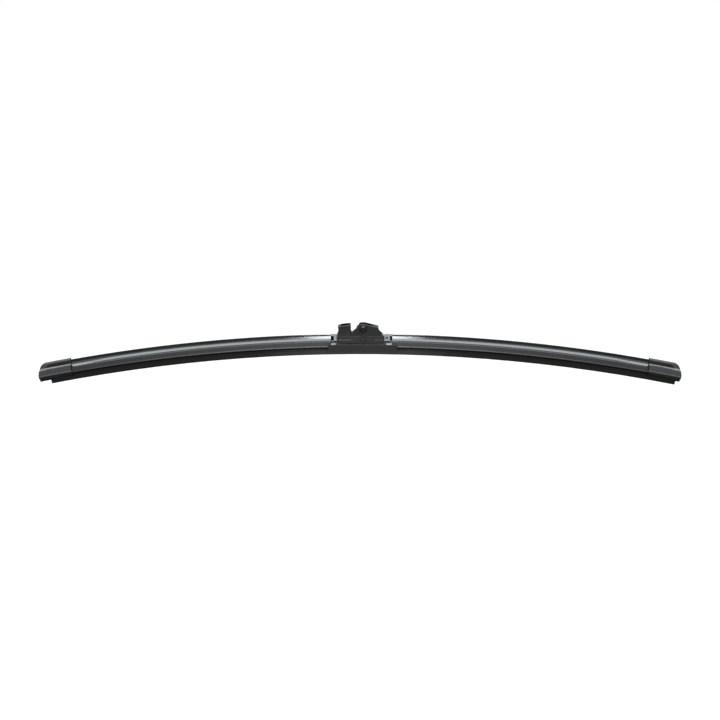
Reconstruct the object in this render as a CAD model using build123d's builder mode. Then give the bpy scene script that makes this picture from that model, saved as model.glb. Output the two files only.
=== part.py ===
from build123d import *
import os
from math import asin, cos, degrees, radians, sin

# Beam-type wiper blade, in millimetres. X runs along the blade, Y to its rear and Z up.
# The origin is the middle of the connector's arm-pin bore.

# The blade as a whole
blade_length = 600.0
bend_radius = 1516.0
connector_shift = 3.1
bore_height = 15.0
pivot_height = 5.2
fit_gap = 0.1
overrun = 1.0

# Spring rails
rail_width = 4.0
rail_thickness = 0.9
rail_spacing = 2.4
rail_inset = 5.0
lock_notch_inset = 1.6
lock_notch_length = 2.2
lock_notch_depth = 0.9

# Wiping rubber, from its head down to the lip
head_width = 5.2
head_height = 1.75
neck_gap = 0.1
lower_head_width = 6.2
lower_head_depth = 1.45
web_width = 1.1
web_depth = 1.5
shoulder_width = 5.8
shoulder_depth = 2.0
wedge_depth = 4.2
lip_width = 0.8
rubber_inset = {"left": 10.2, "right": 4.0}

# Spoiler section
spoiler_half_width = 6.6
spoiler_depth = 1.9
lip_edge = 0.5
lip_rise = 1.2
foot_half_width = 6.0
crease_half_width = 5.8
crease_height = 3.1
ridge_offset = 1.5
ridge_height = 8.85
ridge_width = 0.9
ridge_rise = 0.45
ridge_chamfer = 0.3
fin_hollow = 1.4
rear_shoulder_offset = 5.4
rear_shoulder_height = 2.8
claw_gap = 0.5
channel_gap = 0.3

# Spoiler ends, as places along X from the connector's middle
spoiler_end = {"left": -30.2, "right": 26.7}
spoiler_inset = 10.0
tongue_length = 6.2
tongue_foot_width = 6.4
tongue_crest_width = 2.4
tongue_bottom = 2.9
tongue_top = 7.6

# End caps
cap_length = 32.0
cap_wall = 0.9
cap_lift = 0.55
cap_knee = (-2.2, 5.0)
cap_knee_round = 3.0
cap_edge = -1.0
cap_step = 0.5
cap_fit = 0.1
end_lean = 3.3
end_face_low = 0.65
cap_top_round = 8.0
cap_bottom_slope = 0.4
keel_width = 8.8
keel_depth = 5.4
keel_slot_gap = 0.3

# Bracket, stamped from sheet and bent round the rails
bracket_end = {"left": -30.0, "right": 26.6}
portal_inner = {"left": -22.2, "right": 17.5}
slot_inner = {"left": -27.5, "right": 24.9}
wing_inner = {"left": -25.6, "right": 21.2}
bracket_width = 9.0
bracket_sheet = 1.2
bracket_top = 9.2
roof_sheet = 0.9
waist_height = 3.2
slot_bottom = 3.7
lug_radius = 3.0
wing_width = 17.4
wing_root = 2.2
wing_edge = 1.1
wing_seat = 0.5
claw_sheet = 0.8
claw_hook = 1.0
shadow_groove = 0.35
oval_place = 21.8
oval_height = 6.4
oval_length = 2.6
oval_width = 1.4

# Base cover, the skirt round the bracket
base_end = {"left": -32.9, "right": 31.4}
base_width = 18.0
skirt_wall = 1.4
skirt_top = 1.0
skirt_bottom = -6.5
skirt_edge = 0.4
end_wall_gap = 0.3
end_wall_top = 1.2
notch_gap = 0.25
hat_wall = 0.7
hat_gap = 0.15
corner_slope = 2.0
corner_rise = 3.4

# Pivot rivet
pin_radius = 2.5
pin_proud = 0.05
press_gap = 0.02
running_gap = 0.05

# Adapter, the connector moulding that rocks on the rivet
adapter_width = 14.0
cheek_wall = 1.4
band_proud = 0.3
band_top = 8.4
band_left = -24.7
band_right = 19.5
band_bottom_left = 1.9
band_bottom_right = 1.1
cheek_round_left = 3.9
cheek_round_right = 4.4
chamber_top = 13.7
centre_chamber_top = 8.6
chamber_left = -13.2
chamber_right = 8.6
pivot_boss_radius = 4.0

# Corners of the adapter's front view, as places along X and heights over the rails
band_left_top = 7.6
left_tower_waist = (-23.0, 13.4)
left_tower_back = (-23.7, 16.8)
left_tower_rise = (-20.9, 17.9)
left_tower_crown = (-16.5, 18.6)
left_tower_front = (-11.65, 18.95)
notch_left = (-11.55, 13.0)
notch_bottom = (-10.6, 10.7)
notch_right = (-6.9, 13.7)
notch_mouth = (-5.6, 16.6)
notch_step = (-4.8, 16.9)
right_tower_back = (-3.2, 19.4)
right_tower_crown = (0.9, 19.65)
right_tower_front = (14.2, 16.5)
right_tower_waist = (14.2, 12.4)
band_right_top = 8.1
waist_round = 5.0
band_round = 1.4
top_chamfer = 0.4

# Hook channel of the adapter, with the bar that the arm's hook goes round
channel_floor = 14.7
channel_wall = 1.3
bar_radius = 3.4
bar_proud = 1.5
bar_chamfer = 1.4
bar_clearance = 1.0
arm_bore_radius = 2.4
bore_end_wall = 2.2
dimple_radius = 1.6
dimple_depth = 1.6

# Panels, ribs and beads on the adapter's cheeks
panel_depth = 0.5
panel_border = 1.3
rib_width = 0.9
rib_places = (-19.4, -16.2)
boss_panel_left = -6.0
boss_panel_top_left = -2.5
boss_panel_right = 3.2
boss_panel_bottom = 9.8
boss_panel_top = 17.9
thumb_rib_place = (-2.6, 10.6)
thumb_rib_size = 3.4
thumb_rib_width = 0.7
bead_level = 4.6
bead_rise = 0.5
bead_crest = 0.5
bead_proud = 0.25
bead_spans = ((-23.0, -10.4), (10.4, 18.4))

os.makedirs("parts", exist_ok=True)

# Places worked out from the sizes above
bend_centre = Vector(-connector_shift, 0, -bore_height - bend_radius)
bend_axis = Axis(bend_centre, (0, 1, 0))
end_angle = degrees(asin(blade_length / 2 / bend_radius))
rail_top = rail_thickness / 2
rail_inner = rail_spacing / 2
rail_outer = rail_inner + rail_width
lower_head_bottom = -rail_top - lower_head_depth
shoulder_top = lower_head_bottom - web_depth
lip_level = shoulder_top - shoulder_depth - wedge_depth
heading = {"left": -1, "right": 1}
through = 4 * base_width


def angle_at(x):
    """Angle of a place along X, from the blade's middle."""
    return degrees(asin((x + connector_shift) / bend_radius))


def angle_of(length):
    """Angle that a length along the rails takes up."""
    return degrees(length / bend_radius)


def station(angle):
    """Plane across the blade: x to the rear, y up from the middle of the rails."""
    turn = radians(angle)
    up = Vector(sin(turn), 0, cos(turn))
    along = Vector(cos(turn), 0, -sin(turn))
    return Plane(bend_centre + up * bend_radius, x_dir=(0, 1, 0), z_dir=along)


def side_plane(angle, outward):
    """Plane along the blade: x outward to one end, y up from the middle of the rails."""
    turn = radians(angle)
    up = Vector(sin(turn), 0, cos(turn))
    along = Vector(cos(turn), 0, -sin(turn))
    return Plane(bend_centre + up * bend_radius, x_dir=along * outward, z_dir=(0, -outward, 0))


# Front view of the connector: x along the blade, y up from the middle of the rails
connector_plane = Plane((0, 0, -bore_height), x_dir=(1, 0, 0), z_dir=(0, -1, 0))


def bent(section, first, last, mode=Mode.ADD):
    """Carries a section along the blade's bend between two angles."""
    low = min(first, last)
    turn = abs(last - first)
    return revolve(section(station(low)), axis=bend_axis, revolution_arc=turn, mode=mode)


def window(left, right, bottom, top, mode=Mode.SUBTRACT):
    """Cuts right through the blade's width, in the connector's front view."""
    with BuildSketch(connector_plane) as opening:
        with Locations(((left + right) / 2, (bottom + top) / 2)):
            Rectangle(right - left, top - bottom)
    return extrude(opening.sketch, amount=through, both=True, mode=mode)


def mirrored_section(*points):
    """Section of the points at the rear, with its mirror image at the front."""

    def section(plane):
        with BuildSketch(plane) as half:
            with BuildLine():
                Polyline(*points, close=True)
            make_face()
            mirror(about=Plane.YZ)
        return half.sketch

    return section


def box_section(width, bottom, top):
    """Section of one rectangle across the middle."""

    def section(plane):
        with BuildSketch(plane) as box:
            with Locations((0, (bottom + top) / 2)):
                Rectangle(width, top - bottom)
        return box.sketch

    return section


def draw_fin(growth, lift, knee=None):
    """Draws the deflector's upper lines: hollow or kneed fin, narrow ridge and straight rear side."""
    crease = (-crease_half_width - growth, crease_height + growth + lift)
    rear_shoulder = (rear_shoulder_offset + growth, rear_shoulder_height + growth + lift)
    ridge_half = ridge_width / 2 + growth
    ridge_level = ridge_height + lift
    ridge_top = ridge_level + ridge_rise + growth
    crown_half = ridge_width / 2 - ridge_chamfer
    ridge_front = (ridge_offset - ridge_half, ridge_level)
    ridge_rear = (ridge_offset + ridge_half, ridge_level)
    if knee is None:
        SagittaArc(crease, ridge_front, -fin_hollow)
    else:
        FilletPolyline(crease, knee, ridge_front, radius=cap_knee_round)
    crown_front = (ridge_offset - crown_half, ridge_top)
    crown_rear = (ridge_offset + crown_half, ridge_top)
    Polyline(ridge_front, crown_front, crown_rear, ridge_rear)
    Line(ridge_rear, rear_shoulder)
    return crease, rear_shoulder


def spoiler_outline(plane, growth=0.0):
    """Outer shape of the wind deflector, down to the lip along each side."""
    bottom = -spoiler_depth - growth
    lip = spoiler_half_width + growth
    foot = foot_half_width + growth
    lip_top = lip_edge - spoiler_depth
    foot_level = lip_rise - spoiler_depth
    with BuildSketch(plane) as outline:
        with BuildLine():
            crease, rear_shoulder = draw_fin(growth, 0)
            Polyline(rear_shoulder, (foot, foot_level), (lip, lip_top), (lip, bottom))
            Polyline((lip, bottom), (-lip, bottom), (-lip, lip_top), (-foot, foot_level), crease)
        make_face()
    return outline.sketch


def cavity_section(plane):
    """The spoiler's outer shape with room to slide in."""
    return spoiler_outline(plane, cap_fit)


def cap_section(plane):
    """Outer shape of an end cap: the deflector's lines with a wall over them, stepped in below its edge."""
    bottom = -spoiler_depth - cap_wall
    edge = spoiler_half_width + cap_wall
    foot = foot_half_width + cap_wall
    inner = edge - cap_step
    edge_top = cap_edge + lip_edge
    foot_level = cap_edge + lip_rise
    rear_points = [(foot, foot_level), (edge, edge_top), (edge, cap_edge), (inner, cap_edge), (inner, bottom)]
    front_points = [(-across, height) for across, height in reversed(rear_points)]
    with BuildSketch(plane) as outline:
        with BuildLine():
            crease, rear_shoulder = draw_fin(cap_wall, cap_lift, cap_knee)
            Polyline(rear_shoulder, *rear_points, *front_points, crease)
        make_face()
    return outline.sketch


# Spring rails: two flat strips with a lock notch near each end
rail_first = -end_angle + angle_of(rail_inset)
rail_last = end_angle - angle_of(rail_inset)
notch_start = rail_inset + lock_notch_inset
notch_end = notch_start + lock_notch_length
for place, row in (("front", -1), ("rear", 1)):

    def rail_section(plane, row=row):
        with BuildSketch(plane) as strip:
            with Locations((row * (rail_inner + rail_width / 2), 0)):
                Rectangle(rail_width, rail_thickness)
        return strip.sketch

    def notch_section(plane, row=row):
        with BuildSketch(plane) as notch:
            with Locations((row * rail_outer, 0)):
                Rectangle(2 * lock_notch_depth, 2 * rail_thickness)
        return notch.sketch

    with BuildPart() as spring_rail:
        bent(rail_section, rail_first, rail_last)
        for side in (-1, 1):
            outer = side * (end_angle - angle_of(notch_start))
            inner = side * (end_angle - angle_of(notch_end))
            bent(notch_section, outer, inner, mode=Mode.SUBTRACT)
    spring_rail.part.label = f"spring_rail_{place}"
    export_step(spring_rail.part, f"parts/spring_rail_{place}.step")


# Wiping rubber: head, neck between the rails, lower head, tilting web, shoulder and wedge lip
def rubber_section(plane):
    half_outline = [
        (0, rail_top + head_height),
        (head_width / 2, rail_top + head_height),
        (head_width / 2, rail_top),
        (rail_inner - neck_gap, rail_top),
        (rail_inner - neck_gap, -rail_top),
        (lower_head_width / 2, -rail_top),
        (lower_head_width / 2, lower_head_bottom),
        (web_width / 2, lower_head_bottom),
        (web_width / 2, shoulder_top),
        (shoulder_width / 2, shoulder_top),
        (shoulder_width / 2, shoulder_top - shoulder_depth),
        (lip_width / 2, lip_level),
        (0, lip_level),
    ]
    with BuildSketch(plane) as profile:
        with BuildLine():
            Polyline(*half_outline, close=True)
        make_face()
        mirror(about=Plane.YZ)
    return profile.sketch


rubber_first = -end_angle + angle_of(rubber_inset["left"])
rubber_last = end_angle - angle_of(rubber_inset["right"])
with BuildPart() as wiping_rubber:
    bent(rubber_section, rubber_first, rubber_last)
wiping_rubber.part.label = "wiping_rubber"
export_step(wiping_rubber.part, "parts/wiping_rubber.step")

# Passages that the rails and the rubber's head take through the pieces around them
rail_slot = box_section(2 * (rail_outer + fit_gap), -rail_top - fit_gap, rail_top + fit_gap)
head_slot = box_section(head_width + 2 * channel_gap, 0, rail_top + head_height + channel_gap)
claw_slot = box_section(lower_head_width + 2 * claw_gap, -spoiler_depth - claw_gap, 0)
hat_half_width = head_width / 2 + hat_gap + hat_wall
hat_top = rail_top + head_height + hat_gap + hat_wall
hat_pocket = box_section(2 * (hat_half_width + notch_gap), 0, hat_top + notch_gap)
notch_floor = end_wall_top + notch_gap
notch_box = box_section(through, -2 * spoiler_depth, notch_floor)
tongue_section = mirrored_section(
    (0, tongue_bottom),
    (tongue_foot_width / 2, tongue_bottom),
    (tongue_crest_width / 2, tongue_top),
    (0, tongue_top),
)

# Spoilers: claws round the rails, a notch over the base cover and a tongue into the bracket
for side in ("left", "right"):
    outward = heading[side]
    outer_angle = outward * (end_angle - angle_of(spoiler_inset))
    inner_angle = angle_at(spoiler_end[side])
    beyond = inner_angle - outward * angle_of(overrun)
    notch_angle = angle_at(base_end[side]) + outward * angle_of(end_wall_gap)
    with BuildPart() as spoiler:
        bent(spoiler_outline, inner_angle, outer_angle)
        for passage in (rail_slot, head_slot, claw_slot):
            bent(passage, beyond, outer_angle + outward * angle_of(overrun), mode=Mode.SUBTRACT)
        for passage in (notch_box, hat_pocket):
            bent(passage, beyond, notch_angle, mode=Mode.SUBTRACT)
        bent(tongue_section, inner_angle, inner_angle - outward * angle_of(tongue_length))
    spoiler.part.label = f"spoiler_{side}"
    export_step(spoiler.part, f"parts/spoiler_{side}.step")

# End caps: a hollow cover with a leaning, rounded end and a keel round the rubber
keel_slot_width = max(lower_head_width, shoulder_width) + 2 * keel_slot_gap
lock_nub = mirrored_section(
    (rail_outer + 2 * fit_gap, -rail_top),
    (rail_outer + 2 * fit_gap, rail_top),
    (rail_outer - lock_notch_depth + fit_gap, rail_top),
    (rail_outer - lock_notch_depth + fit_gap, -rail_top),
)
keel_section = box_section(keel_width, -keel_depth, -spoiler_depth)
rubber_slot = box_section(keel_slot_width, -2 * keel_depth, rail_top + head_height + channel_gap)
cap_level = ridge_height + ridge_rise + cap_wall + cap_lift
cap_sky = cap_level + cap_wall
for side in ("left", "right"):
    outward = heading[side]
    tip = outward * end_angle
    mouth = outward * (end_angle - angle_of(cap_length))
    spoiler_stop = outward * (end_angle - angle_of(spoiler_inset - fit_gap))
    rail_stop = outward * (end_angle - angle_of(rail_inset - fit_gap))
    rubber_stop = outward * (end_angle - angle_of(rubber_inset[side] - fit_gap))
    past_mouth = mouth - outward * angle_of(overrun)
    nub_outer = outward * (end_angle - angle_of(notch_start + fit_gap))
    nub_inner = outward * (end_angle - angle_of(notch_end - fit_gap))
    silhouette = [
        ((0, end_face_low), 0),
        ((-end_lean, cap_level), cap_top_round),
        ((-2 * cap_length, cap_sky), 0),
        ((-2 * cap_length, -2 * keel_depth), 0),
        ((-cap_bottom_slope, -2 * keel_depth), 0),
        ((-cap_bottom_slope, -keel_depth), 0),
    ]
    corners = [point for point, round_off in silhouette]
    rounds = [round_off for point, round_off in silhouette]
    with BuildPart() as end_cap:
        bent(cap_section, tip, mouth)
        bent(keel_section, tip, mouth)
        with BuildSketch(side_plane(tip, outward)):
            with BuildLine():
                FilletPolyline(*corners, radius=rounds, close=True)
            make_face()
        extrude(amount=through, both=True, mode=Mode.INTERSECT)
        bent(cavity_section, spoiler_stop, past_mouth, mode=Mode.SUBTRACT)
        bent(rail_slot, rail_stop, past_mouth, mode=Mode.SUBTRACT)
        bent(rubber_slot, rubber_stop, past_mouth, mode=Mode.SUBTRACT)
        bent(lock_nub, nub_outer, nub_inner)
    end_cap.part.label = f"end_cap_{side}"
    export_step(end_cap.part, f"parts/end_cap_{side}.step")

# Bracket: a channel with a lug for the rivet, a portal at each end and wings bent round the rails
bracket_half = bracket_width / 2
bracket_inner = bracket_half - bracket_sheet
channel_section = mirrored_section(
    (0, bracket_top),
    (bracket_half, bracket_top),
    (bracket_half, slot_bottom),
    (bracket_half - shadow_groove, slot_bottom),
    (bracket_half - shadow_groove, rail_top),
    (bracket_inner, rail_top),
    (bracket_inner, bracket_top - roof_sheet),
    (0, bracket_top - roof_sheet),
)
claw_outer = rail_outer + fit_gap + claw_sheet
claw_floor = -rail_top - fit_gap
wing_section = mirrored_section(
    (bracket_inner, wing_root),
    (bracket_half - shadow_groove, wing_root),
    (wing_width / 2, wing_edge),
    (wing_width / 2, wing_seat),
    (claw_outer, wing_seat),
    (claw_outer, claw_floor - claw_sheet),
    (rail_outer - claw_hook, claw_floor - claw_sheet),
    (rail_outer - claw_hook, claw_floor),
    (rail_outer + fit_gap, claw_floor),
    (rail_outer + fit_gap, rail_top),
    (bracket_inner, rail_top),
)
with BuildPart() as bracket:
    bent(channel_section, angle_at(bracket_end["left"]), angle_at(bracket_end["right"]))
    for side in ("left", "right"):
        bent(wing_section, angle_at(wing_inner[side]), angle_at(bracket_end[side]))
        slot_edges = sorted((slot_inner[side], bracket_end[side] + heading[side]))
        window(*slot_edges, slot_bottom, bracket_top - roof_sheet)
    with BuildSketch(connector_plane):
        with Locations(((portal_inner["left"] + portal_inner["right"]) / 2, waist_height + bracket_top)):
            Rectangle(portal_inner["right"] - portal_inner["left"], 2 * bracket_top)
        with Locations((0, pivot_height)):
            Circle(lug_radius, mode=Mode.SUBTRACT)
        with Locations((0, pivot_height / 2)):
            Rectangle(2 * lug_radius, pivot_height, mode=Mode.SUBTRACT)
    extrude(amount=through, both=True, mode=Mode.SUBTRACT)
    with BuildSketch(connector_plane):
        with Locations((0, pivot_height)):
            Circle(pin_radius + press_gap)
    extrude(amount=through, both=True, mode=Mode.SUBTRACT)
    with BuildSketch(connector_plane):
        with Locations((oval_place, oval_height)):
            SlotOverall(oval_length, oval_width)
    extrude(amount=through, mode=Mode.SUBTRACT)
bracket.part.label = "bracket"
export_step(bracket.part, "parts/bracket.step")

# Base cover: two skirts joined at each end by a wall that hooks under the rails and over the head
base_half = base_width / 2
skirt_section = mirrored_section(
    (base_half - skirt_wall, skirt_top),
    (base_half - skirt_edge, skirt_top),
    (base_half, skirt_top - skirt_edge),
    (base_half, skirt_bottom + skirt_edge),
    (base_half - skirt_edge, skirt_bottom),
    (base_half - skirt_wall, skirt_bottom),
)
end_wall_section = mirrored_section(
    (0, hat_top),
    (hat_half_width, hat_top),
    (hat_half_width, end_wall_top),
    (base_half - skirt_edge, end_wall_top),
    (base_half, end_wall_top - skirt_edge),
    (base_half, skirt_bottom + skirt_edge),
    (base_half - skirt_edge, skirt_bottom),
    (lower_head_width / 2 + claw_gap, skirt_bottom),
    (lower_head_width / 2 + claw_gap, claw_floor),
    (rail_outer + fit_gap, claw_floor),
    (rail_outer + fit_gap, rail_top + fit_gap),
    (head_width / 2 + hat_gap, rail_top + fit_gap),
    (head_width / 2 + hat_gap, hat_top - hat_wall),
    (0, hat_top - hat_wall),
)
wing_space = box_section(through, wing_seat, 2 * skirt_top)
with BuildPart() as base_cover:
    bent(skirt_section, angle_at(base_end["left"]), angle_at(base_end["right"]))
    for side in ("left", "right"):
        outward = heading[side]
        wall_face = bracket_end[side] + outward * end_wall_gap
        bent(end_wall_section, angle_at(wall_face), angle_at(base_end[side]))
        seat_start = angle_at(wing_inner[side] - outward * end_wall_gap)
        bent(wing_space, seat_start, angle_at(wall_face), mode=Mode.SUBTRACT)
    with BuildSketch(connector_plane):
        with BuildLine():
            right = base_end["right"]
            Polyline(
                (right, skirt_bottom + corner_rise),
                (right - corner_slope, skirt_bottom - skirt_edge),
                (right + corner_slope, skirt_bottom - skirt_edge),
                (right + corner_slope, skirt_bottom + corner_rise),
                close=True,
            )
        make_face()
    extrude(amount=through, both=True, mode=Mode.SUBTRACT)
base_cover.part.label = "base_cover"
export_step(base_cover.part, "parts/base_cover.step")

# Pivot rivet, pressed through the bracket's lugs and running in the adapter's cheeks
pin_length = adapter_width + 2 * band_proud + 2 * pin_proud
pivot_plane = Plane((0, 0, pivot_height - bore_height), x_dir=(1, 0, 0), z_dir=(0, -1, 0))
with BuildPart() as pivot_pin:
    with BuildSketch(pivot_plane):
        Circle(pin_radius)
    extrude(amount=pin_length / 2, both=True)
pivot_pin.part.label = "pivot_pin"
export_step(pivot_pin.part, "parts/pivot_pin.step")

# Adapter: two towers with a V notch between them, on a lower band that straddles the bracket.
# Its front view is a closed outline of corners, each with its own round.
adapter_corners = [
    ((band_left, band_bottom_left), cheek_round_left),
    ((band_left, band_left_top), band_round),
    (left_tower_waist, waist_round),
    (left_tower_back, 0),
    (left_tower_rise, 0),
    (left_tower_crown, 0),
    (left_tower_front, 0),
    (notch_left, 0),
    (notch_bottom, 0),
    (notch_right, 0),
    (notch_mouth, 0),
    (notch_step, 0),
    (right_tower_back, 0),
    (right_tower_crown, 0),
    (right_tower_front, 0),
    (right_tower_waist, waist_round),
    ((band_right, band_right_top), band_round),
    ((band_right, band_bottom_right), cheek_round_right),
]
adapter_points = [point for point, round_off in adapter_corners]
adapter_rounds = [round_off for point, round_off in adapter_corners]


def adapter_outline(left, right, bottom, top):
    """Front view of the adapter, between four limits."""
    with BuildSketch(connector_plane) as outline:
        with BuildLine():
            FilletPolyline(*adapter_points, radius=adapter_rounds, close=True)
        make_face()
        with Locations(((left + right) / 2, (bottom + top) / 2)):
            Rectangle(right - left, top - bottom, mode=Mode.INTERSECT)
    return outline


def tower_panels():
    """Recessed panels of both towers, with the ribs and the end of the bar standing in them."""
    left_tower = adapter_outline(2 * band_left, notch_bottom[0], band_top, 2 * bore_height)
    with BuildSketch(connector_plane) as panels:
        add(offset(left_tower.sketch_local, amount=-panel_border, mode=Mode.PRIVATE))
        with BuildLine():
            Polyline(
                (boss_panel_left, boss_panel_bottom),
                (boss_panel_top_left, boss_panel_top),
                (boss_panel_right, boss_panel_top),
                (boss_panel_right, boss_panel_bottom),
                close=True,
            )
        make_face()
        for place in rib_places:
            with Locations((place, bore_height)):
                Rectangle(rib_width, 2 * bore_height, mode=Mode.SUBTRACT)
        with Locations((0, bore_height)):
            Circle(bar_radius, mode=Mode.SUBTRACT)
        with Locations(thumb_rib_place):
            inner_rib = thumb_rib_size - 2 * thumb_rib_width
            Rectangle(thumb_rib_size, thumb_rib_size, rotation=45, mode=Mode.SUBTRACT)
            Rectangle(inner_rib, inner_rib, rotation=45)
    return panels.sketch


adapter_half = adapter_width / 2
band_half = adapter_half + band_proud
cheek_inner = adapter_half - cheek_wall
bar_half = adapter_half + bar_proud
boss_reach = band_half - bracket_half - fit_gap
whole_adapter = (2 * band_left, 2 * band_right, 0, 2 * bore_height)
lower_band = (2 * band_left, 2 * band_right, 0, band_top)
bracket_space = [
    (2 * band_left, -bore_height),
    (2 * band_left, chamber_top),
    (chamber_left, chamber_top),
    (chamber_left, centre_chamber_top),
    (chamber_right, centre_chamber_top),
    (chamber_right, chamber_top),
    (2 * band_right, chamber_top),
    (2 * band_right, -bore_height),
]
under_bar = bore_height - bar_radius - bar_clearance
hook_channel = [
    (notch_bottom[0], notch_bottom[1]),
    (-bar_radius, under_bar),
    (bar_radius + bar_clearance, under_bar),
    (bar_radius + bar_clearance, channel_floor),
    (2 * band_right, channel_floor),
    (2 * band_right, 2 * bore_height),
    (notch_bottom[0], 2 * bore_height),
]
latch_pocket = [
    (left_tower_back[0] + 2 * channel_wall, channel_floor),
    (left_tower_front[0] - channel_wall, channel_floor),
    (left_tower_front[0] - channel_wall, 2 * bore_height),
    (left_tower_back[0] + 2 * channel_wall, 2 * bore_height),
]
bead_section = mirrored_section(
    (adapter_half, bead_level - bead_crest / 2),
    (band_half + bead_proud, bead_level - bead_crest / 2),
    (band_half + bead_proud, bead_level + bead_crest / 2),
    (band_half, bead_level + bead_rise),
    (adapter_half, bead_level + bead_rise),
)
with BuildPart() as adapter:
    extrude(adapter_outline(*whole_adapter).sketch, amount=adapter_half, both=True)
    tower_top = left_tower_back[1] - bore_height - top_chamfer
    outer_edges = adapter.edges().filter_by(Axis.Y, reverse=True)
    top_edges = outer_edges.filter_by(lambda edge: edge.center().Z > tower_top)
    chamfer(top_edges.filter_by(GeomType.LINE), top_chamfer)
    extrude(adapter_outline(*lower_band).sketch, amount=band_half, both=True)
    for row in (-1, 1):
        panel_floor = Pos(0, row * (adapter_half - panel_depth), 0)
        extrude(panel_floor * tower_panels(), amount=panel_depth, dir=(0, row, 0), mode=Mode.SUBTRACT)
    for start, end in bead_spans:
        across = Plane((start, 0, -bore_height), x_dir=(0, 1, 0), z_dir=(1, 0, 0))
        extrude(bead_section(across), amount=end - start)
    for space in (bracket_space, hook_channel, latch_pocket):
        with BuildSketch(connector_plane):
            with BuildLine():
                Polyline(*space, close=True)
            make_face()
        extrude(amount=cheek_inner, both=True, mode=Mode.SUBTRACT)
    with BuildSketch(connector_plane):
        with Locations((0, bore_height)):
            Circle(bar_radius)
    extrude(amount=bar_half, both=True)
    round_edges = adapter.edges().filter_by(GeomType.CIRCLE)
    chamfer(round_edges.filter_by(lambda edge: edge.center().Y < -band_half), bar_chamfer)
    with BuildSketch(connector_plane.offset(-band_half), connector_plane.offset(bracket_half + fit_gap)):
        with Locations((0, pivot_height)):
            Circle(pivot_boss_radius)
    extrude(amount=boss_reach)
    with BuildSketch(connector_plane.offset(bar_half - bore_end_wall)):
        with Locations((0, bore_height)):
            Circle(arm_bore_radius)
    extrude(amount=-2 * bar_half, mode=Mode.SUBTRACT)
    with BuildSketch(connector_plane.offset(bar_half - dimple_depth)):
        with Locations((0, bore_height)):
            Circle(dimple_radius)
    extrude(amount=2 * dimple_depth, mode=Mode.SUBTRACT)
    with BuildSketch(connector_plane):
        with Locations((0, pivot_height)):
            Circle(pin_radius + running_gap)
    extrude(amount=through, both=True, mode=Mode.SUBTRACT)
adapter.part.label = "adapter"
export_step(adapter.part, "parts/adapter.step")
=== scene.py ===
from math import cos, pi, radians, sin, tan

import bpy
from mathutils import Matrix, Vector


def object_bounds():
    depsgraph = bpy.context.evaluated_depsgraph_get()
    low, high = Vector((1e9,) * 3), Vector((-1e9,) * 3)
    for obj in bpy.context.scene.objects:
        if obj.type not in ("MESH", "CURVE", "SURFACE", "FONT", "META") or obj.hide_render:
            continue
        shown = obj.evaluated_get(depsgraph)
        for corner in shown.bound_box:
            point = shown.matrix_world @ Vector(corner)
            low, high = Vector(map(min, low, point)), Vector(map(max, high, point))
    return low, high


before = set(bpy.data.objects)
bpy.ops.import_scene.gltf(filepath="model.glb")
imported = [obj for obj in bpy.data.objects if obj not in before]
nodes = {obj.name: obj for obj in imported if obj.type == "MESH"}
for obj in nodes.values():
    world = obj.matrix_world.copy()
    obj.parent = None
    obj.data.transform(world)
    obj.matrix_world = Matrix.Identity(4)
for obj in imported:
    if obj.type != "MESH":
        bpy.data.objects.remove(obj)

cad_low, cad_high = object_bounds()

# Sizes in metres. The blade is bent about an axis along Y, below its middle.
blade_middle = -0.0031
rail_level = -0.015
bend_radius = 1.516
bend_centre = (blade_middle, 0.0, rail_level - bend_radius)

# Camera
camera_elevation = 10.0
camera_distance = 2.2
frame_width = 0.6731
sensor_width = 36.0
camera_target = Vector((blade_middle, 0.0, -0.0302))

# Lamps one metre away, each over a span of elevations from the front over the top to the rear
lamp_distance = 1.0
strip_span = (41.0, 76.0)
strip_width = 0.20
strip_radiance = 17.0
bank_span = (74.0, 112.0)
bank_width = 1.1
bank_radiance = 4.2
left_span = (92.0, 132.0)
right_span = (87.0, 126.0)
side_width = 0.8
haze_span = (58.0, 126.0)
haze_width = 2.7
haze_radiance = 0.8
rear_span = (133.0, 150.0)
rear_radiance = 1.3

# Room: matt fill, and what mirror rays see from the front horizon over the top to the rear one
sky_fill = 0.4
room_levels = [
    (0.0, 1.0), (0.05, 0.6), (0.1, 0.18), (0.25, 0.2), (0.3, 0.45),
    (0.5, 0.4), (0.75, 0.4), (0.9, 0.25), (1.0, 0.6),
]

# Floor, low enough for the tips of the rocking blade. It glows for the camera, and for mirror rays by a share
# that is small under the blade's two halves, a painted shadow, and further out is painted brighter near the
# middle and dimmer towards the ends.
rocking_drop = 0.053
floor_level = cad_low[2] - rocking_drop
floor_half = 6.0
floor_shade = 0.35
floor_glow = 0.83
camera_share = 1.07
near_floor = (0.03, 0.24)
lifted_middle = (0.13, 0.04)
near_shade = 0.25
mirror_reach = (0.06, 0.34)
mirror_share = (1.22, 0.60)

# Places on the pieces, as lengths along the bend, distances across it and heights over the rails
cap_mouth = 0.270
cap_seam = 0.0009
cap_edge = -0.001
cap_hollow = (0.0058, 0.0087)
cap_front = (0.0012, 0.0009)
cap_rim_slope = 1.2
cap_rim_reach = 0.3022
tongue_roots = (-0.0270, 0.0297)
lip_level = -0.0006
lip_dullness = 0.4
tower_foot = 0.0084
panel_span = (0.0060, 0.0067)
dimple_edge = (0.0017, 0.0015)
# Where a painted highlight lies on the channel's rear wall
highlight_wall = (0.0053, 0.0059)
highlight_level = 0.0148
highlight_run = (0.0095, 0.0165)
# Where painted light lies on the rubber, by distance from the middle
rubber_light_span = (0.100, 0.045)
# The groove's heights, where shade is painted
groove_span = (0.00225, 0.00365)
wall_span = (0.0038, 0.0090)
pivot_place = (0.0, -0.0098)
bare_centre = (0.0008, 0.0013)

# Softness at the masks' borders
crisp = 0.0001
groove_soft = 0.00015
edge_soft = 0.0002
panel_soft = 0.0003
rim_soft = 0.0004

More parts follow.
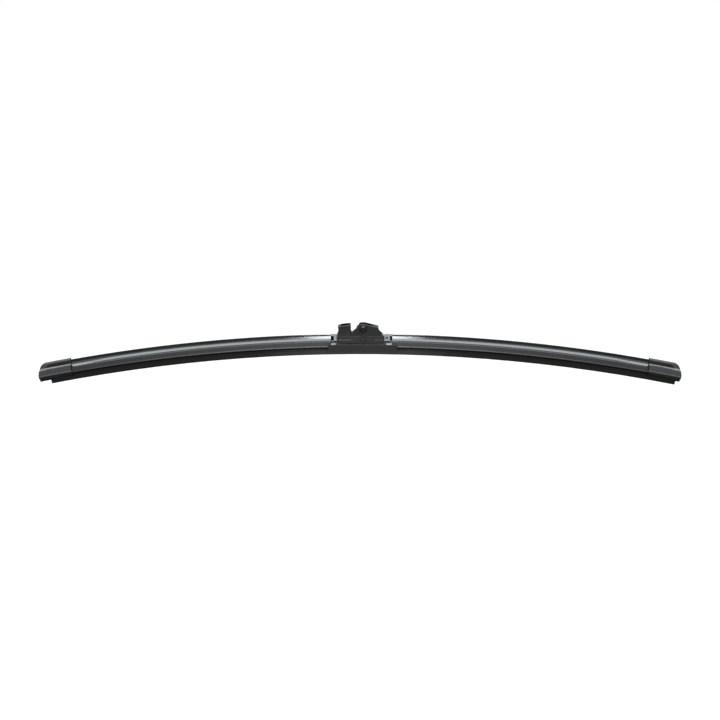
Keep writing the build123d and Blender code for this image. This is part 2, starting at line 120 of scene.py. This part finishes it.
# Patches, grain and drawn streaks that every finish shares
patch_contrast = (0.3, 0.7)
patch_detail = 5.0
grain_detail = 2.0
streak_stretch = (0.01, 1.0, 1.0)
streak_relief = 1.5
bevel_samples = 6

# Tints, as shares of red, green and blue
plain = (1.0, 1.0, 1.0)
cool = (0.92, 1.0, 1.08)
warm = (1.12, 1.0, 0.92)
zinc = (0.97, 1.0, 1.03)
cool_sheen = (0.92, 0.97, 1.0)


class Tree:
    """A node tree with short calls to add nodes and link them."""

    def __init__(self, owner):
        owner.use_nodes = True
        self.tree = owner.node_tree
        self.tree.nodes.clear()

    def add(self, kind, **settings):
        node = self.tree.nodes.new(kind)
        for name, value in settings.items():
            setattr(node, name, value)
        return node

    def link(self, source, target):
        self.tree.links.new(source, target)

    def feed(self, value, socket):
        """Links an output to a socket, or sets the socket to a number."""
        if hasattr(value, "is_linked"):
            self.link(value, socket)
        else:
            socket.default_value = value

    def math(self, operation, *values):
        node = self.add("ShaderNodeMath", operation=operation)
        for value, socket in zip(values, node.inputs):
            self.feed(value, socket)
        return node.outputs[0]

    def product(self, *factors):
        result = factors[0]
        for factor in factors[1:]:
            result = self.math("MULTIPLY", result, factor)
        return result

    def distance(self, first, second):
        """Length of the long side over two legs at a right angle."""
        squares = self.math("ADD", self.product(first, first), self.product(second, second))
        return self.math("SQRT", squares)

    def split(self, vector):
        node = self.add("ShaderNodeSeparateXYZ")
        self.link(vector, node.inputs[0])
        return node.outputs

    def ramp(self, factor, stops):
        """Grey level from a list of places and values."""
        node = self.add("ShaderNodeValToRGB")
        elements = node.color_ramp.elements
        for place, value in stops[1:-1]:
            elements.new(place)
        for element, (place, value) in zip(elements, stops):
            element.position = place
            element.color = (value, value, value, 1.0)
        self.link(factor, node.inputs["Fac"])
        grey = self.add("ShaderNodeRGBToBW")
        self.link(node.outputs["Color"], grey.inputs[0])
        return grey.outputs[0]

    def span(self, factor, low, high):
        """Goes from one number to another as a factor goes from 0 to 1."""
        node = self.add("ShaderNodeMapRange")
        self.link(factor, node.inputs["Value"])
        node.inputs["To Min"].default_value = low
        node.inputs["To Max"].default_value = high
        return node.outputs["Result"]

    def step(self, value, start, end):
        """Rises smoothly from 0 to 1 between two values."""
        node = self.add("ShaderNodeMapRange", interpolation_type="SMOOTHSTEP")
        self.link(value, node.inputs["Value"])
        node.inputs["From Min"].default_value = start
        node.inputs["From Max"].default_value = end
        return node.outputs["Result"]

    def above(self, value, level, soft):
        """Mask that is 1 over a level, with a soft border."""
        return self.step(value, level - soft, level + soft)

    def below(self, value, level, soft):
        """Mask that is 1 under a level, with a soft border."""
        return self.step(value, level + soft, level - soft)

    def between(self, value, low, high, soft):
        """Mask that is 1 between two levels, with soft borders."""
        return self.product(self.above(value, low, soft), self.below(value, high, soft))

    def blend(self, factor, first, second):
        """Goes from one value or output to another by a factor."""
        node = self.add("ShaderNodeMix", data_type="FLOAT")
        self.link(factor, node.inputs["Factor"])
        sockets = [socket for socket in node.inputs if socket.type == "VALUE" and socket.name in ("A", "B")]
        for value, socket in zip((first, second), sockets):
            self.feed(value, socket)
        return [socket for socket in node.outputs if socket.type == "VALUE"][0]

    def noise(self, place, scale, detail, stretch=(1.0, 1.0, 1.0)):
        mapping = self.add("ShaderNodeMapping")
        mapping.inputs["Scale"].default_value = stretch
        self.link(place, mapping.inputs["Vector"])
        node = self.add("ShaderNodeTexNoise")
        node.inputs["Scale"].default_value = scale
        node.inputs["Detail"].default_value = detail
        self.link(mapping.outputs[0], node.inputs["Vector"])
        return node.outputs["Fac"]

    def rays(self):
        """Masks of the camera's rays, and of those that mirror or pass through."""
        path = self.add("ShaderNodeLightPath").outputs
        mirrored = self.math("MAXIMUM", path["Is Glossy Ray"], path["Is Transmission Ray"])
        return path["Is Camera Ray"], mirrored


class Bend:
    """Length along the blade, distance across it and height over its rails, as node outputs."""

    def __init__(self, tree):
        self.object = tree.add("ShaderNodeTexCoord").outputs["Object"]
        offset = tree.add("ShaderNodeVectorMath", operation="SUBTRACT")
        tree.link(self.object, offset.inputs[0])
        offset.inputs[1].default_value = bend_centre
        parts = tree.split(offset.outputs[0])
        turn = tree.math("ARCTAN2", parts["X"], parts["Z"])
        self.along = tree.product(turn, bend_radius)
        self.length = tree.math("ABSOLUTE", self.along)
        self.across = parts["Y"]
        self.height = tree.math("SUBTRACT", tree.distance(parts["X"], parts["Z"]), bend_radius)
        joined = tree.add("ShaderNodeCombineXYZ")
        tree.link(self.along, joined.inputs["X"])
        tree.link(self.across, joined.inputs["Y"])
        tree.link(self.height, joined.inputs["Z"])
        self.place = joined.outputs[0]


# Masks of places that have a finish of their own

def cap_underside_shade(tree, bend):
    """A cap's rough sides below its edge, painted darker as shade under the edge."""
    return tree.below(bend.height, cap_edge, edge_soft)


def cap_seam_shade(tree, bend):
    """Painted shade in the seam at a cap's mouth."""
    return tree.step(bend.length, cap_mouth + cap_seam, cap_mouth + cap_seam / 2)


def cap_hollow_shade(tree, bend):
    """Painted shade, with duller gloss, in the hollow along the front of a cap's fin, inside the rim of its
    rounded end.
    """
    level = tree.between(bend.height, *cap_hollow, panel_soft)
    front = tree.step(bend.across, *cap_front)
    reach = tree.math("ADD", bend.length, tree.product(bend.height, cap_rim_slope))
    return tree.product(level, front, tree.below(reach, cap_rim_reach, rim_soft))


def tongue_shade(tree, bend):
    """The spoilers' tongues, painted dark as the shade inside the bracket."""
    return tree.between(bend.along, *tongue_roots, edge_soft)


def spoiler_lip(tree, bend):
    """The spoilers' lower lip, in part, because it is only a little duller."""
    return tree.product(tree.below(bend.height, lip_level, edge_soft), lip_dullness)


def towers(tree, bend):
    """The adapter's two towers, over its lower band."""
    return tree.above(bend.height, tower_foot, panel_soft)


def recesses(tree, bend):
    """The adapter's textured panels, and the dimple in the end of its bar."""
    depth = tree.between(tree.math("ABSOLUTE", bend.across), *panel_span, crisp)
    panel = tree.product(towers(tree, bend), depth)
    parts = tree.split(bend.object)
    dimple = tree.step(tree.distance(parts["X"], parts["Z"]), *dimple_edge)
    return tree.math("MAXIMUM", panel, dimple)


def painted_channel_highlight(tree, bend):
    """A painted highlight on the channel's rear wall, growing to its open end."""
    wall = tree.between(bend.across, *highlight_wall, crisp)
    top = tree.above(bend.height, highlight_level, panel_soft)
    return tree.product(wall, top, tree.step(bend.along, *highlight_run))


def rubber_painted_light(tree, bend):
    """Painted light on the rubber beside the base cover, paler near the blade's middle."""
    return tree.step(bend.length, *rubber_light_span)


def groove_painted_shade(tree, bend):
    """Painted shade in the bracket's groove, between its walls and its wings."""
    return tree.between(bend.height, *groove_span, groove_soft)


def bracket_walls(tree, bend):
    """The bracket's upright walls, brighter and smoother than its roof and wings."""
    return tree.between(bend.height, *wall_span, crisp)


def rim_of_pin(tree, bend):
    """The blackened part of the rivet's end, round its bare centre."""
    parts = tree.split(bend.object)
    along = tree.math("SUBTRACT", parts["X"], pivot_place[0])
    up = tree.math("SUBTRACT", parts["Z"], pivot_place[1])
    return tree.step(tree.distance(along, up), *bare_centre)


def layer(mask, shades, rough, specular=None, tint=None):
    """Another finish, where a mask says."""
    return {"mask": mask, "shades": shades, "rough": rough, "specular": specular, "tint": tint}


def surface(name, shades, rough, patch_scale, grain_scale, grain_depth, streak_scale=None, edge_round=0.0002,
            metallic=0.0, specular=0.5, tint=plain, sheen=plain, layers=()):
    """A material with patches of colour and gloss, fine grain, soft edges and layers of other finishes."""
    material = bpy.data.materials.new(name)
    tree = Tree(material)
    output = tree.add("ShaderNodeOutputMaterial")
    shader = tree.add("ShaderNodeBsdfPrincipled")
    tree.link(shader.outputs[0], output.inputs["Surface"])
    shader.inputs["Metallic"].default_value = metallic
    shader.inputs["Specular Tint"].default_value = (*sheen, 1.0)

    bend = Bend(tree)
    patches = tree.step(tree.noise(bend.place, patch_scale, patch_detail), *patch_contrast)
    relief = tree.noise(bend.place, grain_scale, grain_detail)
    gloss = patches
    if streak_scale is not None:
        streaks = tree.noise(bend.place, streak_scale, grain_detail, streak_stretch)
        relief = tree.math("ADD", relief, tree.product(streaks, streak_relief))
        gloss = tree.math("DIVIDE", tree.math("ADD", patches, streaks), 2.0)

    shade = tree.span(patches, *shades)
    roughness = tree.span(gloss, *rough)
    shares = tint
    for finish in layers:
        covered = finish["mask"](tree, bend)
        shade = tree.blend(covered, shade, tree.span(patches, *finish["shades"]))
        roughness = tree.blend(covered, roughness, tree.span(patches, *finish["rough"]))
        if finish["specular"] is not None:
            specular = tree.blend(covered, specular, finish["specular"])
        if finish["tint"] is not None:
            shares = [tree.blend(covered, old, new) for old, new in zip(shares, finish["tint"])]
    colour = tree.add("ShaderNodeCombineColor")
    for channel, share in zip(("Red", "Green", "Blue"), shares):
        tree.link(tree.product(shade, share), colour.inputs[channel])
    tree.link(colour.outputs[0], shader.inputs["Base Color"])
    tree.link(roughness, shader.inputs["Roughness"])
    tree.feed(specular, shader.inputs["Specular IOR Level"])

    rounded = tree.add("ShaderNodeBevel", samples=bevel_samples)
    rounded.inputs["Radius"].default_value = edge_round
    bump = tree.add("ShaderNodeBump")
    bump.inputs["Strength"].default_value = 1.0
    bump.inputs["Distance"].default_value = grain_depth
    tree.link(relief, bump.inputs["Height"])
    tree.link(rounded.outputs[0], bump.inputs["Normal"])
    tree.link(bump.outputs[0], shader.inputs["Normal"])
    return material


# Finishes, one for each material slot
materials = [
    surface(
        "spoiler_plastic", shades=(0.008, 0.013), rough=(0.09, 0.14),
        patch_scale=60.0, grain_scale=2500.0, grain_depth=0.000002, streak_scale=900.0,
        specular=0.78, tint=cool, sheen=cool_sheen,
        layers=[
            layer(spoiler_lip, shades=(0.003, 0.004), rough=(0.8, 0.9), specular=0.05),
            # Painted shade on the tongues inside the bracket
            layer(tongue_shade, shades=(0.003, 0.004), rough=(0.8, 0.9), specular=0.05),
        ],
    ),
    surface(
        "cap_plastic", shades=(0.021, 0.029), rough=(0.28, 0.36),
        patch_scale=120.0, grain_scale=3200.0, grain_depth=0.000006,
        specular=0.9, tint=cool, sheen=cool_sheen,
        layers=[
            # Painted shade in the hollow of the cap's fin
            layer(cap_hollow_shade, shades=(0.006, 0.010), rough=(0.7, 0.9), specular=0.2),
            # Painted shade under the cap's edge
            layer(cap_underside_shade, shades=(0.010, 0.016), rough=(0.7, 0.9), specular=0.4),
            # Painted shade in the seam at the cap's mouth
            layer(cap_seam_shade, shades=(0.003, 0.005), rough=(0.7, 0.9), specular=0.2),
        ],
    ),
    surface(
        "base_plastic", shades=(0.009, 0.014), rough=(0.5, 0.62),
        patch_scale=120.0, grain_scale=2600.0, grain_depth=0.00003, specular=0.4,
    ),
    surface(
        "adapter_plastic", shades=(0.005, 0.015), rough=(0.28, 0.4),
        patch_scale=450.0, grain_scale=2800.0, grain_depth=0.00001, edge_round=0.0003,
        specular=0.4, tint=cool, sheen=cool_sheen,
        layers=[
            layer(towers, shades=(0.003, 0.012), rough=(0.3, 0.42), specular=0.33),
            layer(recesses, shades=(0.001, 0.048), rough=(0.4, 0.6), specular=0.29, tint=warm),
            # A painted highlight, pale grey, on the channel's rear wall near its open end
            layer(painted_channel_highlight, shades=(0.22, 0.34), rough=(0.3, 0.4), tint=plain),
        ],
    ),
    surface(
        "rubber", shades=(0.012, 0.020), rough=(0.62, 0.78),
        patch_scale=45.0, grain_scale=3000.0, grain_depth=0.00001, streak_scale=700.0, edge_round=0.0001,
        specular=0.28,
        # Painted light on the rubber near the blade's middle
        layers=[layer(rubber_painted_light, shades=(0.047, 0.061), rough=(0.62, 0.78), specular=0.4)],
    ),
    surface(
        "bracket_metal", shades=(0.20, 0.36), rough=(0.52, 0.66),
        patch_scale=300.0, grain_scale=2400.0, grain_depth=0.00001, metallic=1.0, tint=zinc,
        layers=[
            layer(bracket_walls, shades=(0.28, 0.42), rough=(0.34, 0.48)),
            # Painted shade in the groove between walls and wings
            layer(groove_painted_shade, shades=(0.025, 0.04), rough=(0.5, 0.7)),
        ],
    ),
    surface(
        "rivet_steel", shades=(0.045, 0.065), rough=(0.26, 0.4),
        patch_scale=300.0, grain_scale=2000.0, grain_depth=0.000008, metallic=1.0,
        layers=[layer(rim_of_pin, shades=(0.025, 0.035), rough=(0.35, 0.45))],
    ),
    surface(
        "spring_steel", shades=(0.16, 0.24), rough=(0.34, 0.48),
        patch_scale=90.0, grain_scale=1800.0, grain_depth=0.000008, streak_scale=1200.0, metallic=1.0,
    ),
]
finishes = {material.name.split(".")[0]: material for material in materials}
for node in nodes.values():
    for place in node.material_slots:
        place.material = finishes[place.material.name.split(".")[0]]


# Floor
floor_mesh = bpy.data.meshes.new("floor")
floor_corners = [(-1, -1), (1, -1), (1, 1), (-1, 1)]
floor_points = [(x * floor_half, y * floor_half, floor_level) for x, y in floor_corners]
floor_mesh.from_pydata(floor_points, [], [(0, 1, 2, 3)])
floor = bpy.data.objects.new("floor", floor_mesh)
bpy.context.scene.collection.objects.link(floor)

floor_material = bpy.data.materials.new("floor_paper")
tree = Tree(floor_material)
paper = tree.add("ShaderNodeBsdfDiffuse")
paper.inputs["Color"].default_value = (floor_shade, floor_shade, floor_shade, 1.0)
parts = tree.split(tree.add("ShaderNodeTexCoord").outputs["Object"])
from_middle = tree.math("ABSOLUTE", tree.math("SUBTRACT", parts["X"], blade_middle))
beside = tree.step(tree.math("ABSOLUTE", parts["Y"]), *near_floor)
clear = tree.math("MAXIMUM", beside, tree.step(from_middle, *lifted_middle))
far_share = tree.span(tree.step(from_middle, *mirror_reach), *mirror_share)
camera_rays, mirror_rays = tree.rays()
# Mirror rays see the glow with a painted shadow under the blade's halves and painted light near its middle
mirrored = tree.product(mirror_rays, tree.blend(clear, near_shade, far_share))
seen = tree.math("MAXIMUM", tree.product(camera_rays, camera_share), mirrored)
glow = tree.add("ShaderNodeEmission")
tree.link(tree.product(seen, floor_glow), glow.inputs["Strength"])
both = tree.add("ShaderNodeAddShader")
tree.link(paper.outputs[0], both.inputs[0])
tree.link(glow.outputs[0], both.inputs[1])
output = tree.add("ShaderNodeOutputMaterial")
tree.link(both.outputs[0], output.inputs["Surface"])
floor_mesh.materials.append(floor_material)
floor_material.cycles.emission_sampling = "NONE"

# World: a white room, darker in front of the object where the camera stands
world = bpy.data.worlds.new("studio")
bpy.context.scene.world = world
tree = Tree(world)
parts = tree.split(tree.add("ShaderNodeTexCoord").outputs["Generated"])
elevation = tree.math("ARCTAN2", parts["Z"], tree.product(parts["Y"], -1.0))
room = tree.ramp(tree.math("DIVIDE", elevation, pi), room_levels)
camera_rays, mirror_rays = tree.rays()
fill = tree.product(tree.math("SUBTRACT", 1.0, mirror_rays), sky_fill)
level = tree.math("ADD", tree.product(mirror_rays, room), fill)
background = tree.add("ShaderNodeBackground")
background.inputs["Color"].default_value = (1.0, 1.0, 1.0, 1.0)
tree.link(tree.math("MAXIMUM", level, camera_rays), background.inputs["Strength"])
output = tree.add("ShaderNodeOutputWorld")
tree.link(background.outputs[0], output.inputs["Surface"])
world.cycles.sampling_method = "NONE"


def softbox(name, span, width, radiance, shift=0.0, lights_matt=False):
    """An area lamp of a given radiance that faces the object, for its gloss and, if asked, its matt share."""
    low, high = span
    middle = radians((low + high) / 2)
    length = 2 * lamp_distance * tan(radians((high - low) / 2))
    data = bpy.data.lights.new(name, "AREA")
    data.shape = "RECTANGLE"
    data.size = width
    data.size_y = length
    data.energy = radiance * pi * width * length
    towards = Vector((0.0, -cos(middle), sin(middle)))
    lamp = bpy.data.objects.new(name, data)
    lamp.location = Vector((blade_middle + shift, 0.0, rail_level)) + towards * lamp_distance
    lamp.rotation_euler = towards.to_track_quat("Z", "Y").to_euler()
    lamp.visible_diffuse = lights_matt
    bpy.context.scene.collection.objects.link(lamp)


# A narrow strip in front of the connector, a long bank overhead with a dimmer surround, and a lamp behind
side_shift = (bank_width + side_width) / 2
softbox("strip", strip_span, strip_width, strip_radiance, lights_matt=True)
softbox("bank", bank_span, bank_width, bank_radiance)
softbox("side_left", left_span, side_width, bank_radiance, shift=-side_shift)
softbox("side_right", right_span, side_width, bank_radiance, shift=side_shift)
softbox("haze", haze_span, haze_width, haze_radiance)
softbox("rear", rear_span, haze_width, rear_radiance)

# Camera
camera_data = bpy.data.cameras.new("camera")
camera_data.sensor_fit = "HORIZONTAL"
camera_data.sensor_width = sensor_width
camera_data.lens = sensor_width * camera_distance / frame_width
camera = bpy.data.objects.new("camera", camera_data)
tilt = radians(camera_elevation)
camera.location = camera_target + Vector((0.0, -cos(tilt), sin(tilt))) * camera_distance
camera.rotation_euler = (pi / 2 - tilt, 0.0, 0.0)
bpy.context.scene.collection.objects.link(camera)
bpy.context.scene.camera = camera
bpy.context.scene.view_settings.view_transform = "Standard"
